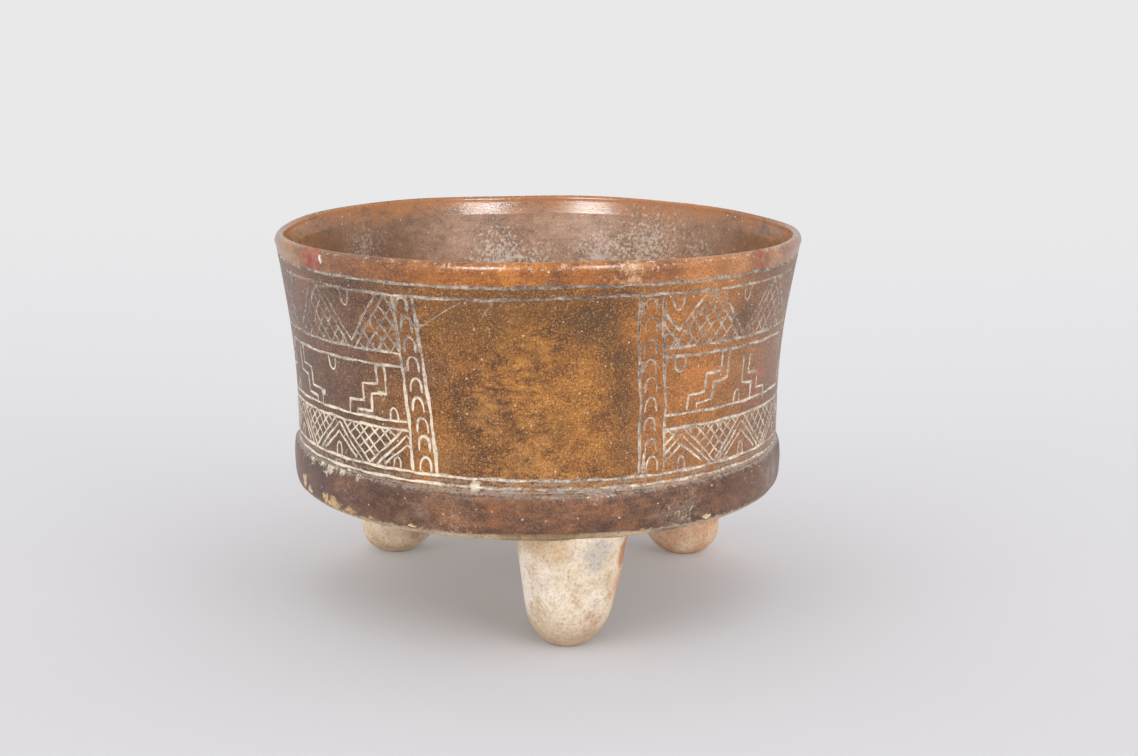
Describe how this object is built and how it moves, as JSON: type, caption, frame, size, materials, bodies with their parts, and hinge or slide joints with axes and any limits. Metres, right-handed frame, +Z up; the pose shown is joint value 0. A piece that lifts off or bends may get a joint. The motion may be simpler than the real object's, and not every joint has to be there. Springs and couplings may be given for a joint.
{
  "type": "cylindrical tripod vessel",
  "caption": "Straight-walled ceramic vessel with a flaring rim, incised geometric panels and a basal ledge, standing on short nubbin feet; holds food, drink or offerings",
  "frame": {"origin": "on the floor under the vessel's axis, at the bottom centre of the bounding box", "axes": "+Z up through the mouth, front with the plain panel faces -Y, +X to the viewer's right"},
  "size_m": [0.1664, 0.1664, 0.117],
  "materials": {
    "burnished_slip": "brown slip burnished with a pebble, orange where thin, with dark fire clouds and chalky white infill in the incised lines",
    "bare_clay": "matt buff fired clay with grey and brick-red patches",
    "mend_fill": "smooth brick-red filler rubbed flush with the lip"
  },
  "bodies": {
    "root": {"corner_coil": "burnished_slip", "wall_slab_front": "burnished_slip", "wall_slab_left": "burnished_slip", "wall_slab_right": "burnished_slip", "rim_coil": "burnished_slip", "basal_band": "burnished_slip", "base_disc": "bare_clay", "foot_front": "bare_clay", "foot_rear_left": "bare_clay", "foot_rear_right": "bare_clay", "luting_front": "bare_clay", "luting_rear_left": "bare_clay", "luting_rear_right": "bare_clay", "rim_mend_left": "mend_fill", "rim_mend_right": "mend_fill"}
  },
  "joints": []
}
